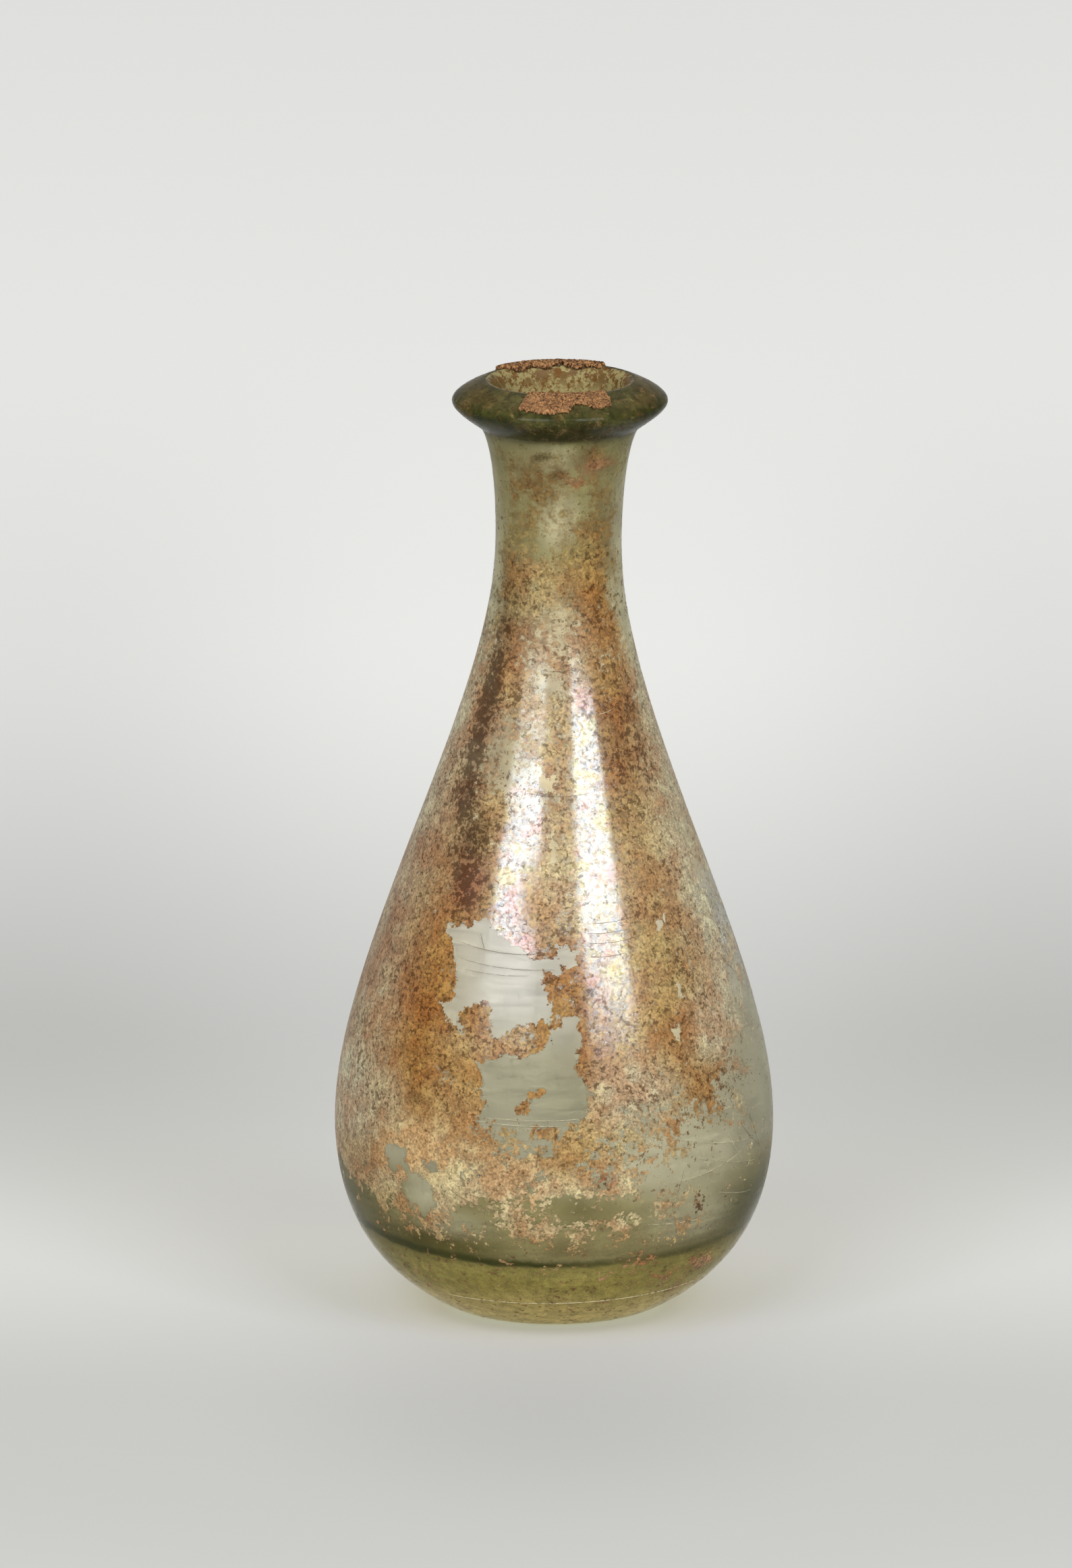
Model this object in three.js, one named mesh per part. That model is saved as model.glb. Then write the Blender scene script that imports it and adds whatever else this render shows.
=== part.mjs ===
// A narrow-necked glass bottle of the ancient world, free-blown in one gather of glass.
// The body is pear-shaped and thick in the base. The neck flares to a lip that was folded inwards,
// so that its top slopes up from a rounded edge to a crest around the mouth.
// Millimetres, +Z up, origin on the ground under the middle of the base.
import * as THREE from "three";

// Driving dimensions
const height = 150; // ground to the crest of the lip
const bellyRadius = 34.8; // outside, at the widest part of the body
const bellyHeight = 31;
const waistRadius = 9.9; // outside, at the narrowest part of the neck
const waistHeight = 123.2;
const collarRadius = 12.2; // outside, where the neck meets the underside of the lip
const collarHeight = 142.2;
const lipRadius = 17.1; // outside edge of the lip
const lipHeight = 146.6;
const crestRadius = 12; // ring around the mouth, the highest line of the bottle
const throatRadius = 10.1; // inner edge of the lip, where the neck's bore begins
const throatDrop = 1.7; // below the crest
const footRadius = 15.4; // edge of the flat that the bottle stands on
const footRise = 24.5; // degrees, how steeply the body leaves the foot
const kickRadius = 8.5; // shallow hollow in the middle of the underside
const kickDepth = 0.8;
const bellyWall = 2.0; // thickness of the glass
const waistWall = 1.7;
const floorHeight = 10.8; // middle of the inner floor
const floorEdgeRadius = 22; // where the inner floor turns up into the wall
const floorEdgeHeight = 12.2;
const neckLean = 0.9; // sideways, at the lip: the neck was set down a little askew
const leanStart = 70; // height where the lean begins
const facetsAround = 60;

const point = (radius, z) => new THREE.Vector2(radius, z);

// A cubic curve between two profile points, with a handle given as an offset from each end.
function curve(from, leaving, arriving, to) {
  return new THREE.CubicBezierCurve(from, from.clone().add(leaving), to.clone().add(arriving), to);
}

// The body from its widest line up to the neck's narrowest, both with upright tangents.
function shoulder(belly, waist) {
  const bellyHandle = 0.268 * (waist.y - belly.y);
  const waistHandle = 0.28 * (waist.y - belly.y);
  return curve(belly, point(0, bellyHandle), point(0, -waistHandle), waist);
}

const foot = point(footRadius, 0);
const belly = point(bellyRadius, bellyHeight);
const waist = point(waistRadius, waistHeight);
const collar = point(collarRadius, collarHeight);
const crest = point(crestRadius, height);
const throat = point(throatRadius, height - throatDrop);
const innerWaist = point(waistRadius - waistWall, waistHeight);
const innerBelly = point(bellyRadius - bellyWall, bellyHeight);
const floorEdge = point(floorEdgeRadius, floorEdgeHeight);

function underside() {
  const kickEdge = point(kickRadius, 0);
  const dome = curve(point(0, kickDepth), point(kickRadius / 3, 0), point(-kickRadius / 3, 0), kickEdge);
  return [...dome.getPoints(4), foot];
}

function outerWall() {
  const rise = THREE.MathUtils.degToRad(footRise);
  const footHandle = 14;
  const leavingFoot = point(footHandle * Math.cos(rise), footHandle * Math.sin(rise));
  const flank = curve(foot, leavingFoot, point(0, -16), belly);
  const flare = curve(waist, point(0, 9), point(-1.6, -3.4), collar);
  return [...flank.getPoints(11), ...shoulder(belly, waist).getPoints(15), ...flare.getPoints(5)];
}

// The folded lip: out along its underside, round its edge, up its sloping top and over the crest.
function foldedLip() {
  const edge = point(lipRadius, lipHeight);
  const below = curve(collar, point(1.2, 1.0), point(0, -1.3), edge);
  const slope = curve(edge, point(0, 1.2), point(1.9, -0.7), crest);
  const inside = curve(crest, point(-0.9, 0.1), point(0.3, 1.0), throat);
  return [...below.getPoints(6), ...slope.getPoints(6), ...inside.getPoints(4)];
}

function innerWall() {
  const bore = curve(throat, point(-0.7, -3.5), point(0, 10), innerWaist);
  const cavity = shoulder(innerBelly, innerWaist).getPoints(13).reverse();
  const corner = curve(innerBelly, point(0, -12), point(6.5, 0.7), floorEdge);
  const floor = curve(floorEdge, point(-8, -0.8), point(7, 0), point(0, floorHeight));
  return [...bore.getPoints(5), ...cavity, ...corner.getPoints(8), ...floor.getPoints(4)];
}

// Neighbouring curves share their end points, so each repeated point is dropped.
function joined(...runs) {
  const all = runs.flat();
  return all.filter((p, i) => i === 0 || p.distanceTo(all[i - 1]) > 1e-6);
}

// Shifts the neck sideways, smoothly from the shoulder up.
function lean(geometry) {
  const places = geometry.getAttribute("position");
  for (let i = 0; i < places.count; i++) {
    const share = THREE.MathUtils.smoothstep(places.getZ(i), leanStart, height);
    places.setX(i, places.getX(i) + neckLean * share);
  }
  return geometry;
}

const profile = joined(underside(), outerWall(), foldedLip(), innerWall());
const turned = new THREE.LatheGeometry(profile, facetsAround).rotateX(Math.PI / 2);

const paleGreenGlass = new THREE.MeshStandardMaterial({
  color: 0x9aa07c,
  roughness: 0.2,
  metalness: 0,
  transparent: true,
  opacity: 0.6,
});

const bottle = new THREE.Mesh(lean(turned), paleGreenGlass);
bottle.name = "bottle";

const vase = new THREE.Group();
vase.add(bottle);

export default vase;
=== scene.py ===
import math

import bpy
import numpy as np
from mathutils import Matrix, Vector


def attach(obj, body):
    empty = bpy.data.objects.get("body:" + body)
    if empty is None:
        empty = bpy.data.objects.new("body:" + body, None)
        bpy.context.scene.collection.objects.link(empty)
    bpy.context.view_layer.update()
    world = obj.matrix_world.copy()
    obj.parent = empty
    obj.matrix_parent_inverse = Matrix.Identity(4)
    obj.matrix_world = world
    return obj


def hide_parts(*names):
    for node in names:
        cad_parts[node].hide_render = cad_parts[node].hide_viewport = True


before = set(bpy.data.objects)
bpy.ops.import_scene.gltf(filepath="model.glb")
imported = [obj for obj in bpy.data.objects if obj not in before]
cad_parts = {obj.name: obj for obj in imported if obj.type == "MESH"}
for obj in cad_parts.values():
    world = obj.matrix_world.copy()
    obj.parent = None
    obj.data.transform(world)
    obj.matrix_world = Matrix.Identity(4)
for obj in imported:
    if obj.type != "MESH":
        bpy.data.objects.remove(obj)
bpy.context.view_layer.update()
mm = 0.001
print("frame loaded")


# Small helpers

def only(piece):
    if bpy.context.mode != "OBJECT":
        bpy.ops.object.mode_set(mode="OBJECT")
    bpy.ops.object.select_all(action="DESELECT")
    piece.select_set(True)
    bpy.context.view_layer.objects.active = piece


def editAll(piece):
    only(piece)
    bpy.ops.object.mode_set(mode="EDIT")
    bpy.ops.mesh.select_mode(type="FACE")
    bpy.ops.mesh.select_all(action="SELECT")


def readPoints(piece):  # vertex places in mm
    points = np.zeros(len(piece.data.vertices) * 3)
    piece.data.vertices.foreach_get("co", points)
    return points.reshape(-1, 3) / mm


def readFaces(piece):  # face centres in mm, and normals
    count = len(piece.data.polygons)
    centres = np.zeros(count * 3)
    normals = np.zeros(count * 3)
    piece.data.polygons.foreach_get("center", centres)
    piece.data.polygons.foreach_get("normal", normals)
    return centres.reshape(-1, 3) / mm, normals.reshape(-1, 3)


def selectFaces(piece, wanted):
    bpy.ops.object.mode_set(mode="OBJECT")
    mesh = piece.data
    mesh.vertices.foreach_set("select", np.zeros(len(mesh.vertices), bool))
    mesh.edges.foreach_set("select", np.zeros(len(mesh.edges), bool))
    mesh.polygons.foreach_set("select", wanted)
    bpy.ops.object.mode_set(mode="EDIT")


neckLean = {"from": 70, "to": 150, "shift": 0.9}  # mm, as the solid leans


def leanAt(height):
    share = np.clip((height - neckLean["from"]) / (neckLean["to"] - neckLean["from"]), 0, 1)
    return neckLean["shift"] * share * share * (3 - 2 * share)


def bearings(points):  # degrees from the front, height and radius in mm
    x = points[:, 0] - leanAt(points[:, 2])
    y = points[:, 1]
    return np.degrees(np.arctan2(x, -y)), points[:, 2], np.hypot(x, y)


def turned(degrees):  # wraps an angle to -180 .. 180
    return (degrees + 180) % 360 - 180


# Shader helpers

def plug(tree, node, values):  # links other nodes' outputs, and sets plain values
    for name, value in values.items():
        if isinstance(value, bpy.types.NodeSocket):
            tree.links.new(value, node.inputs[name])
        else:
            node.inputs[name].default_value = value


def addNode(tree, kind, inputs=None, **settings):
    made = tree.nodes.new("ShaderNode" + kind)
    for name, value in settings.items():
        setattr(made, name, value)
    plug(tree, made, inputs or {})
    return made


def maths(tree, operation, first, second=0.0, clamp=False):
    return addNode(tree, "Math", {0: first, 1: second}, operation=operation, use_clamp=clamp).outputs[0]


def times(tree, first, second):
    return maths(tree, "MULTIPLY", first, second)


def mixed(tree, factor, first, second, blend="MIX"):
    inputs = {0: factor, 6: first, 7: second}  # the Mix node's sockets for colours
    return addNode(tree, "Mix", inputs, data_type="RGBA", blend_type=blend).outputs[2]


def ranged(tree, value, low, high, toLow=0.0, toHigh=1.0, smooth=True):
    kind = "SMOOTHSTEP" if smooth else "LINEAR"
    inputs = {"Value": value, "From Min": low, "From Max": high, "To Min": toLow, "To Max": toHigh}
    return addNode(tree, "MapRange", inputs, interpolation_type=kind, clamp=True).outputs[0]


def noiseAt(tree, vector, size, detail, roughness, distortion=0.0):  # size of one lump in mm
    inputs = {"Vector": vector, "Scale": 1 / size, "Detail": detail, "Roughness": roughness,
              "Distortion": distortion}
    return addNode(tree, "TexNoise", inputs).outputs["Fac"]


def spread(tree, vector, pattern, smooth=False):  # noise, with its lows and highs moved to new values
    return ranged(tree, noiseAt(tree, vector, *pattern["noise"]), *pattern["range"], smooth=smooth)


def millimetres(tree):  # place on the object, in mm
    place = addNode(tree, "TexCoord").outputs["Object"]
    return addNode(tree, "VectorMath", {0: place, "Scale": 1 / mm}, operation="SCALE").outputs[0]


def painted(tree, name, kind="Fac"):
    return addNode(tree, "Attribute", attribute_name=name).outputs[kind]


def newMaterial(name):
    made = bpy.data.materials.new(name)
    made.use_nodes = True
    return made, made.node_tree, made.node_tree.nodes["Principled BSDF"]


def newGroup(name, inputs, outputs):
    tree = bpy.data.node_groups.new(name, "ShaderNodeTree")
    for label, kind in inputs:
        tree.interface.new_socket(name=label, in_out="INPUT", socket_type="NodeSocket" + kind)
    for label, kind in outputs:
        tree.interface.new_socket(name=label, in_out="OUTPUT", socket_type="NodeSocket" + kind)
    return tree, tree.nodes.new("NodeGroupInput"), tree.nodes.new("NodeGroupOutput")


def useGroup(tree, group, inputs):
    made = tree.nodes.new("ShaderNodeGroup")
    made.node_tree = group
    plug(tree, made, inputs)
    return made


# Camera, floor and lights

view = {"tilt": 13.4, "distance": 4.0, "aim": (-2.87, 0, 84.5), "frameHeight": 247.4, "sensor": 36,
        "reach": 200}  # tilt in degrees, distance and reach in metres, the rest in mm


def makeCamera():
    tilt = math.radians(view["tilt"])
    aim = Vector(view["aim"]) * mm
    place = aim + view["distance"] * Vector((0, -math.cos(tilt), math.sin(tilt)))
    bpy.ops.object.camera_add(location=place, rotation=(math.pi / 2 - tilt, 0, 0))
    camera = bpy.context.active_object
    camera.data.sensor_width = view["sensor"]
    camera.data.lens = view["sensor"] * view["distance"] / (view["frameHeight"] * mm)
    camera.data.clip_end = view["reach"]
    bpy.context.scene.camera = camera


# distances in metres, the drop in mm: paper whose colour runs darker near the vase and lighter far off, as
# painted shade and painted light, with painted shadow wings to the sides behind the vase, a painted pool of
# light round its base and a painted shadow in front
floorLook = {"size": 80, "drop": 0.2, "near": (0.51, 0.51, 0.49725, 1), "far": (0.8, 0.8, 0.784, 1),
             "nearAt": 0.12, "farAt": 0.48,
             "paintedSideShadow": 0.14, "sideAt": (0.015, 0.09), "sideFrom": (0.05, 0.2), "sideTo": (0.75, 0.35),
             "glow": 0.23, "lightPoolFrom": (0.19, 0.03), "lightPoolTo": (-0.065, 0.035),
             "shade": -0.1, "shadeAt": (0, 0.072, 0), "shadeScale": (22, 17, 0), "shadeEdge": 1.3,
             "shader": {"Roughness": 0.9, "Specular IOR Level": 0.1}}


def makeFloor():
    bpy.ops.mesh.primitive_plane_add(size=floorLook["size"], location=(0, 0, -floorLook["drop"] * mm))
    floor = bpy.context.active_object
    floor.name = "floor"
    made, tree, shader = newMaterial("floorPaper")
    place = addNode(tree, "TexCoord").outputs["Object"]
    away = addNode(tree, "VectorMath", {0: place}, operation="LENGTH").outputs["Value"]
    # painted shade near the vase and painted light far off: the paper's colour runs from near to far
    share = ranged(tree, away, floorLook["nearAt"], floorLook["farAt"])
    spot = addNode(tree, "SeparateXYZ", {0: place}).outputs
    # painted shadow wings on the paper, to both sides behind the vase
    side = ranged(tree, maths(tree, "ABSOLUTE", spot["X"]), *floorLook["sideAt"])
    behind = times(tree, ranged(tree, spot["Y"], *floorLook["sideFrom"]),
                   ranged(tree, spot["Y"], *floorLook["sideTo"]))
    dark = times(tree, times(tree, side, behind), floorLook["paintedSideShadow"])
    colour = mixed(tree, dark, mixed(tree, share, floorLook["near"], floorLook["far"]), (0, 0, 0, 1))
    # a painted pool of light on the paper round the vase's base
    glow = times(tree, ranged(tree, spot["Y"], *floorLook["lightPoolFrom"]),
                 ranged(tree, spot["Y"], *floorLook["lightPoolTo"]))
    # a painted shadow on the paper in front of the vase
    moved = addNode(tree, "VectorMath", {0: place, 1: floorLook["shadeAt"]}, operation="ADD").outputs[0]
    scale = floorLook["shadeScale"]
    oval = addNode(tree, "VectorMath", {0: moved, 1: scale}, operation="MULTIPLY").outputs[0]
    outside = addNode(tree, "VectorMath", {0: oval}, operation="LENGTH").outputs["Value"]
    shade = ranged(tree, outside, floorLook["shadeEdge"], 0.0, 0.0, floorLook["shade"])
    # the painted pool of light and the painted shadow, added to the paper's colour
    bright = maths(tree, "ADD", times(tree, glow, floorLook["glow"]), shade)
    colour = mixed(tree, 1.0, colour, maths(tree, "ADD", bright, 1.0), "MULTIPLY")
    tree.links.new(colour, shader.inputs["Base Color"])
    plug(tree, shader, floorLook["shader"])
    floor.data.materials.append(made)


softboxes = [
    {"name": "leftBox", "bearing": -30.5, "lift": 34.5, "width": 3.4, "height": 3.8, "glow": 7.2},
    {"name": "rightBox", "bearing": 35.5, "lift": 33, "width": 3.0, "height": 4.0, "glow": 7.2},
]
lamps = {"distance": 6.0, "aim": (0, 0, 0.08)}  # metres, from the middle of the vase
# how bright on the object, and as seen by the camera behind the floor
skyGlow = {"light": 0.36, "seen": 0.88, "tint": (1, 1, 0.985, 1)}
layersDeep = 24  # the thin layers of both walls lie behind one another


def makeLights():
    for box in softboxes:
        bearing = math.radians(box["bearing"])
        lift = math.radians(box["lift"])
        level = math.cos(lift)
        towards = Vector((math.sin(bearing) * level, -math.cos(bearing) * level, math.sin(lift)))
        place = Vector(lamps["aim"]) + lamps["distance"] * towards
        turn = towards.to_track_quat("Z", "Y").to_euler()
        bpy.ops.object.light_add(type="AREA", location=place, rotation=turn)
        lamp = bpy.context.active_object
        lamp.name = box["name"]
        lamp.data.shape = "RECTANGLE"
        lamp.data.size = box["width"]
        lamp.data.size_y = box["height"]
        lamp.data.energy = math.pi * box["width"] * box["height"] * box["glow"]
        lamp.visible_camera = False
    world = bpy.data.worlds.new("studio")
    world.use_nodes = True
    tree = world.node_tree
    sky = tree.nodes["Background"]
    sky.inputs["Color"].default_value = skyGlow["tint"]
    seen = addNode(tree, "LightPath").outputs["Is Camera Ray"]
    glow = ranged(tree, seen, 0, 1, skyGlow["light"], skyGlow["seen"], smooth=False)
    tree.links.new(glow, sky.inputs["Strength"])
    scene = bpy.context.scene
    scene.world = world
    scene.view_settings.view_transform = "Standard"
    scene.cycles.transparent_max_bounces = layersDeep


makeCamera()
makeFloor()
makeLights()
print("camera, floor and lights set")


# The glass itself, from the solid, smoothed

glassShape = {"name": "bottle_glass", "smoothing": 2, "merge": 1e-6, "axisGap": 0.1,
              "glossByHeight": [(34, 0), (48, 0.2), (58, 0.4), (66, 0.45), (100, 0.5), (112, 0.1), (140, 0),
                                (144, 0.15)],
              "glossByAngle": [(0, 1), (38, 1), (60, 0)]}


def makeGlass():
    piece = bpy.data.objects.new(glassShape["name"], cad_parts["bottle"].data.copy())
    bpy.context.scene.collection.objects.link(piece)
    only(piece)
    bpy.ops.mesh.customdata_custom_splitnormals_clear()
    editAll(piece)
    bpy.ops.mesh.remove_doubles(threshold=glassShape["merge"])
    bpy.ops.mesh.tris_convert_to_quads()
    bpy.ops.object.mode_set(mode="OBJECT")
    smooth = piece.modifiers.new("smooth", "SUBSURF")
    smooth.levels = smooth.render_levels = glassShape["smoothing"]
    bpy.ops.object.modifier_apply(modifier="smooth")
    bpy.ops.object.shade_smooth()
    piece.data.materials.clear()
    return piece


def peel(source, wanted, name, lift):  # a thin skin lifted off some faces of the glass
    only(source)
    bpy.ops.object.mode_set(mode="EDIT")
    bpy.ops.mesh.select_mode(type="FACE")
    selectFaces(source, wanted)
    bpy.ops.mesh.duplicate()
    bpy.ops.mesh.separate(type="SELECTED")
    bpy.ops.object.mode_set(mode="OBJECT")
    piece = [o for o in bpy.context.selected_objects if o is not source][0]
    piece.name = name
    editAll(piece)
    bpy.ops.transform.shrink_fatten(value=lift * mm)
    bpy.ops.object.mode_set(mode="OBJECT")
    return piece


bottleGlass = makeGlass()
faceCentres, faceNormals = readFaces(bottleGlass)
faceAngle, faceHeight, faceRadius = bearings(faceCentres)
fromAxis = faceCentres[:, 0] - leanAt(faceHeight)
outward = faceNormals[:, 0] * fromAxis + faceNormals[:, 1] * faceCentres[:, 1]
# 1 where a face looks straight away from the axis, -1 where it looks at it
outward = outward / np.maximum(faceRadius, glassShape["axisGap"])
print("glass", len(bottleGlass.data.polygons), "faces")


# Weathering on the outside: a brown soil film, flaked off in places, with an iridescent skin on it

filmShape = {"name": "weathering_film", "lift": 0.04, "lowest": 1.0, "facing": 0.05, "extraRows": 1,
             "steep": 0.25, "longEdge": 0.5, "unflaked": -6.0, "underSkin": 0.2}
skinShape = {"name": "iridescent_skin", "lift": 0.02}

# flaked patches as seen from the front: degrees round the bottle, height in mm
flakeUpper = [
    (-40, 66.5), (-33.5, 67.5), (-30.5, 66.5), (-28.5, 68), (-23, 68), (-21, 66.5), (-16, 65), (-9, 63.5),
    (-7, 62.5), (-0.5, 63), (1, 64.5), (4, 65), (8, 63.5), (7.5, 62), (2, 62), (1.5, 60.5), (-3.5, 61),
    (-3.5, 59), (-1, 56.5), (-1, 53), (-4.5, 53.5), (-8, 52.5), (-11, 53), (-14, 51), (-16.5, 50.5),
    (-18.5, 51.5), (-20.5, 56), (-27, 55), (-29.5, 53.5), (-27, 51), (-31.5, 51.5), (-37, 55),
    (-32.5, 55.5), (-31.5, 58.5), (-34, 60.5), (-36, 64),
]
flakeLower = [
    (-22, 46.5), (-18.5, 47.5), (-14, 48), (-9, 48), (-4.5, 49), (-1.5, 49.5), (-1, 52), (2, 52.5), (3, 54),
    (5.5, 54.5), (7, 54), (7, 52), (8.5, 51.5), (7, 48.5), (6, 46), (10.5, 43), (8.5, 39.5), (5.5, 37),
    (2, 36.5), (1, 33), (-1, 32.5), (-5, 33), (-7, 33.5), (-8.5, 32), (-12, 33), (-17, 32.5), (-19, 35.5),
    (-22, 37), (-19.5, 38.5), (-19, 41.5), (-20.5, 44.5),
]
flakeShoulder = [
    (-43, 96.5), (-41, 98.5), (-30, 98), (-20, 97), (-16, 94), (-14, 90), (-8, 89.5), (-8, 87), (-16, 86.5),
    (-27, 87.5), (-35.5, 87), (-43, 87), (-40.5, 90), (-38, 94.5),
]
flakeSmall = [
    [(-7, 90), (1, 90), (0.5, 87.5), (-7, 87.5)],
    [(-3, 81), (1.5, 81.5), (0.5, 77), (-2, 77)],
    [(38, 67.5), (43, 68), (43, 66.5), (38, 66)],
    [(-50, 31), (-47, 32.3), (-44, 31.2), (-41.5, 31.6), (-42.5, 29.5), (-41, 28), (-45, 28.4), (-47, 27),
     (-49.5, 28.8)],
    [(-44, 27), (-38.5, 28), (-34, 26.5), (-33.5, 23.5), (-37, 20.5), (-44, 24)],
    [(-36.5, 30), (-32.5, 30.5), (-32, 28.5), (-36, 28.5)],
    [(36, 51), (38.4, 51.2), (38.2, 49.3), (36.2, 49.2)],
    [(41, 57.2), (43.2, 57.3), (43, 55), (41.2, 55)],
]
flakeIslands = [
    [(-10.5, 40.5), (-7.5, 41.5), (-8, 42.5), (-1, 44), (-6, 41.5), (-6.5, 40), (-9, 39)],
    [(-3, 36.5), (-1, 37.5), (1, 36), (0, 35), (-2, 35)],
]

bareLimit = [(33, 0.0), (38, 0.2), (43, 6.0), (80, 6.0), (86, -0.5)]  # keeps crumbs of film in the patches
# earth colours, as light returned
earth = {
    "ochre": (0.228, 0.115, 0.032),
    "gold": (0.25, 0.155, 0.06),
    "umber": (0.088, 0.044, 0.015),
    "rust": (0.19, 0.084, 0.04),
    "sand": (0.36, 0.265, 0.145),
    "cream": (0.29, 0.21, 0.12),
    "tan": (0.275, 0.175, 0.075),
    "rose": (0.26, 0.18, 0.11),
    "ash": (0.36, 0.3, 0.2),
    "clay": (0.3, 0.155, 0.075),
    "amber": (0.225, 0.098, 0.02),
    "bronze": (0.155, 0.103, 0.036),
    "soot": (0.06, 0.046, 0.018),
    "buff": (0.43, 0.31, 0.155),
}

filmByHeight = [(13, "clay"), (16, "tan"), (22, "sand"), (28, "sand"), (36, "tan"), (44, "ochre"),
                (106, "ochre"), (114, "bronze")]
# dabs of colour: degrees, height, half width and half height in mm, slant in degrees, earth, strength
filmDabs = [
    (-32, 112, 3, 5, 0, "umber", 0.4),
    (25, 112, 3, 5, 0, "umber", 0.5),
    (-16, 139.8, 2.4, 1.1, 0, "soot", 0.95),
    (0, 137.1, 1.8, 1.1, 0, "soot", 0.95),
    (-23, 135.5, 2.6, 2.8, 20, "umber", 0.35),
    (27, 140, 2.8, 1.8, 0, "umber", 0.5),
    (30, 138, 5, 1.4, 7, "rust", 0.9),
    (12, 135.6, 2, 1.2, 0, "rust", 0.9),
    (42, 78, 15, 46, 0, "gold", 0.95),
    (46, 96, 7, 12, 0, "amber", 0.8),
    (46, 96, 6, 10, 0, "umber", 0.25),
    (0, 108, 6, 10, 0, "cream", 0.7),
    (2, 84, 5, 17, 0, "sand", 0.55),
    (3, 72, 8, 6, 0, "sand", 0.8),
    (-22, 80, 5, 8, -8, "cream", 0.5),
    (-36, 93, 6, 6.5, 0, "cream", 0.9),
    (-46, 56, 7, 12, 0, "amber", 1.0),
    (-48, 72, 4, 5, 0, "gold", 0.7),
    (-42, 41, 5, 5, 0, "amber", 0.7),
    (-50, 107, 2.0, 6, 0, "umber", 0.8),
    (-47.5, 99, 2.1, 6, 0, "umber", 0.8),
    (-49, 92, 2.4, 5, 0, "umber", 0.75),
    (-46, 86, 2.6, 4, 0, "umber", 0.95),
    (-38, 79, 3.2, 5, 0, "umber", 0.9),
    (-34, 73, 3.8, 4.5, 0, "rust", 1.0),
    (29, 72, 4, 6, 0, "tan", 0.9),
    (-85, 75, 15, 34, 0, "rose", 0.9),
    (-74, 48, 12, 16, 0, "rose", 0.9),
    (-64, 49, 6, 7, 0, "sand", 0.4),
    (-68, 31, 14, 7, 0, "rose", 0.9),
    (-52, 30, 4, 3, 0, "tan", 0.6),
    (-67, 28, 9, 4, 0, "ochre", 0.4),
    (-86, 95, 6, 18, 0, "ash", 0.85),
    (86, 95, 6, 18, 0, "ash", 0.85),
    (75, 64, 11, 30, 0, "ash", 0.9),
    (80, 38, 14, 14, 0, "ash", 0.85),
    (55, 50, 8, 6, 0, "ash", 0.8),
    (-80, 38, 14, 7, 0, "ash", 0.9),
    (-52, 38, 5, 6, 0, "cream", 0.8),
    (5, 33, 6, 4, 0, "tan", 0.9),
    (5, 33, 5, 4, 0, "ochre", 0.4),
    (-20, 50, 8, 3, 0, "tan", 0.8),
    (-30, 42, 6, 5, 0, "tan", 0.3),
    (24, 55, 5, 10, 0, "tan", 0.9),
    (22, 42, 8, 6, 0, "ash", 0.7),
    (-40, 31, 8, 5, 0, "buff", 0.9),
    (-50, 21, 8, 4, 0, "tan", 0.8),
    (42, 23, 1.2, 2.6, 0, "rust", 1.0),
    (14, 28.5, 1.8, 1.2, 0, "rust", 1.0),
    (38, 118, 3.5, 7, 0, "ochre", 0.7),
    (-24, 121, 4, 5, 0, "tan", 0.6),
    (50, 41, 5, 4, 0, "amber", 0.4),
    (38, 51, 5, 5, 0, "amber", 0.5),
    (-40, 40, 3, 1.2, 0, "umber", 0.5),
]
# how much of the glass the film covers, by height, and dabs that change it
coverByHeight = [(0, 0.16), (11, 0.2), (15, 0.26), (17.5, 0.38), (21, 0.54), (26, 0.66), (32, 0.76),
                 (104, 0.74), (116, 0.63), (128, 0.51), (141, 0.36), (143.5, 0.2)]
coverDabs = [
    (-46, 72, 16, 40, 0, 0.12),
    (44, 78, 12, 28, 0, 0.06),
    (80, 66, 11, 34, 0, -0.3),
    (80, 36, 22, 14, 0, -0.42),
    (38, 30, 14, 8, 0, -0.38),
    (14, 33, 6, 5, 0, -0.12),
    (-22, 22, 4, 2.2, 0, -0.25),
    (6, 24, 9, 2, 0, -0.32),
    (-9, 19.5, 5, 2, 0, 0.08),
    (-80, 20, 16, 6, 0, -0.3),
    (70, 20, 14, 6, 0, -0.3),
    (2, 90, 5, 22, 0, -0.12),
    (0, 110, 5, 8, 0, -0.2),
    (-10, 104, 8, 4, 0, -0.1),
    (-20, 90, 6, 16, -6, -0.12),
    (-80, 122, 5, 24, 0, -0.4),
    (80, 122, 5, 24, 0, -0.4),
    (2, 130, 3, 5, 0, -0.2),
    (-30, 141, 8, 3, 0, -0.15),
    (-32, 92, 6.5, 7, 0, -0.38),
    (-16, 139.8, 1.8, 0.7, 0, 0.3),
    (0, 137.1, 1.2, 0.7, 0, 0.3),
    (-23, 135.5, 2.2, 2.2, 20, 0.14),
    (-12, 133.2, 2.2, 1.6, 0, 0.22),
    (27, 140, 2.4, 1.4, 0, 0.26),
    (30, 138, 4.4, 0.8, 7, 0.2),
    (12, 135.6, 1.7, 0.8, 0, 0.24),
    (26, 118, 4, 9, 0, 0.2),
    (-34, 116, 4, 8, 0, 0.15),
    (-38, 148, 3, 1.2, 0, 0.16),
    (-70, 147.5, 3, 1.2, 0, 0.18),
    (80, 147.5, 3, 1.2, 0, 0.15),
    (40, 9, 12, 3, 12, 0.14),
    (52, 11.5, 4, 1.2, -15, 0.24),
    (14, 12, 4, 1.0, 0, 0.14),
]
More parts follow.
